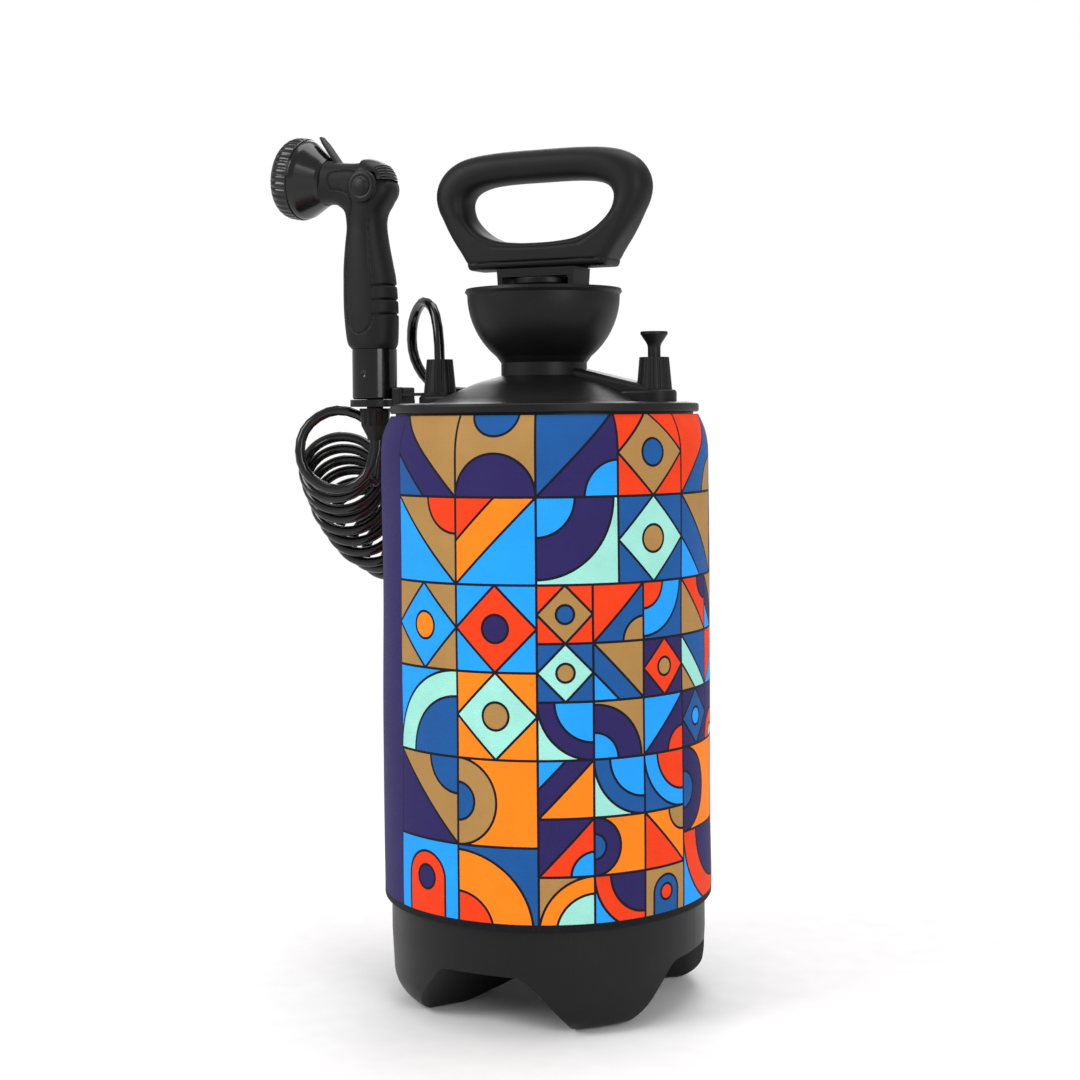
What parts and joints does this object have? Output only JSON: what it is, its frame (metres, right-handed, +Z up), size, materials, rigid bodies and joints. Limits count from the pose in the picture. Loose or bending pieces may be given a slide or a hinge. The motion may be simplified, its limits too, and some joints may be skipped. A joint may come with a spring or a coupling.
{
  "type": "portable shower",
  "caption": "Hand-pumped pressure tank in a printed sleeve, with D-handle pump, funnel mouth, relief valve, coiled hose and spray handset in a side holder.",
  "frame": {"origin": "on the floor, midway between the front of the spray head and the far side of the sleeve", "axes": "+Z up along the tank's axis, -X towards the handset, +Y to the back where the coil hangs"},
  "size_m": [0.2804, 0.2365, 0.523],
  "materials": {
    "tank_plastic": "satin moulded",
    "neoprene": "printed woven face",
    "fitting_plastic": "satin moulded",
    "handle_plastic": "soft matte",
    "grip_plastic": "matte",
    "inlay_rubber": "soft touch",
    "gloss_black": "polished",
    "hose_plastic": "glossy",
    "clear_tube": "milky",
    "seal_rubber": "matte",
    "spring_steel": "drawn wire"
  },
  "bodies": {
    "tank_body": {"tank": "tank_plastic", "sleeve": "neoprene", "outlet_stub": "fitting_plastic", "outlet_gasket": "seal_rubber", "outlet_nut": "fitting_plastic", "dip_tube": "clear_tube", "dip_filter": "fitting_plastic", "holder_bracket": "fitting_plastic", "relief_body": "fitting_plastic", "relief_gasket": "seal_rubber", "relief_nut": "fitting_plastic", "relief_spring": "spring_steel", "hose_outlet_lead": "hose_plastic", "hose_coil": "hose_plastic", "hose_handset_lead": "hose_plastic"},
    "relief_stem_body": {"relief_stem": "fitting_plastic", "relief_o_ring": "seal_rubber"},
    "pump_body": {"pump_collar": "fitting_plastic", "rod_guide": "fitting_plastic", "pump_gasket": "seal_rubber", "pump_barrel": "fitting_plastic", "foot_valve_seat": "fitting_plastic", "foot_valve_flap": "seal_rubber"},
    "piston_body": {"piston": "fitting_plastic", "piston_cup_seal": "seal_rubber"},
    "handle_body": {"handle_grip": "handle_plastic", "handle_skirt": "handle_plastic", "piston_rod": "fitting_plastic", "rod_nut": "spring_steel", "handle_pin": "spring_steel"},
    "handset_body": {"handset_grip": "grip_plastic", "inlay_near": "inlay_rubber", "inlay_far": "inlay_rubber", "handset_connector": "gloss_black", "hose_nut": "fitting_plastic", "spray_bell": "gloss_black", "hook_tab": "gloss_black", "lever_pin": "grip_plastic"},
    "lever_body": {"thumb_lever": "grip_plastic"},
    "spray_body": {"spray_ring": "gloss_black", "spray_plate": "gloss_black"}
  },
  "joints": [
    {"name": "pump_lift", "type": "slide", "parent": "tank_body", "child": "pump_body", "axis": [0, 0, 1], "range_m": [0, 0.3]},
    {"name": "pump_stroke", "type": "slide", "parent": "pump_body", "child": "piston_body", "axis": [0, 0, 1], "range_m": [0, 0.19]},
    {"name": "handle_twist", "type": "hinge", "parent": "piston_body", "child": "handle_body", "pos_m": [0.04392, 0, 0.4327], "axis": [0, 0, 1], "range_deg": [0, 60]},
    {"name": "relief_pull", "type": "slide", "parent": "tank_body", "child": "relief_stem_body", "axis": [0, 0, 1], "range_m": [0, 0.005], "deforming": ["relief_spring"]},
    {"name": "handset_lift", "type": "slide", "parent": "tank_body", "child": "handset_body", "axis": [0, 0, 1], "range_m": [0, 0.08]},
    {"name": "lever_press", "type": "hinge", "parent": "handset_body", "child": "lever_body", "pos_m": [-0.08558, 0, 0.4908], "axis": [0, -1, 0], "range_deg": [0, 25]},
    {"name": "spray_turn", "type": "hinge", "parent": "handset_body", "child": "spray_body", "pos_m": [-0.08558, 0, 0.4908], "axis": [-0.988, 0, 0.1547], "continuous": true}
  ]
}
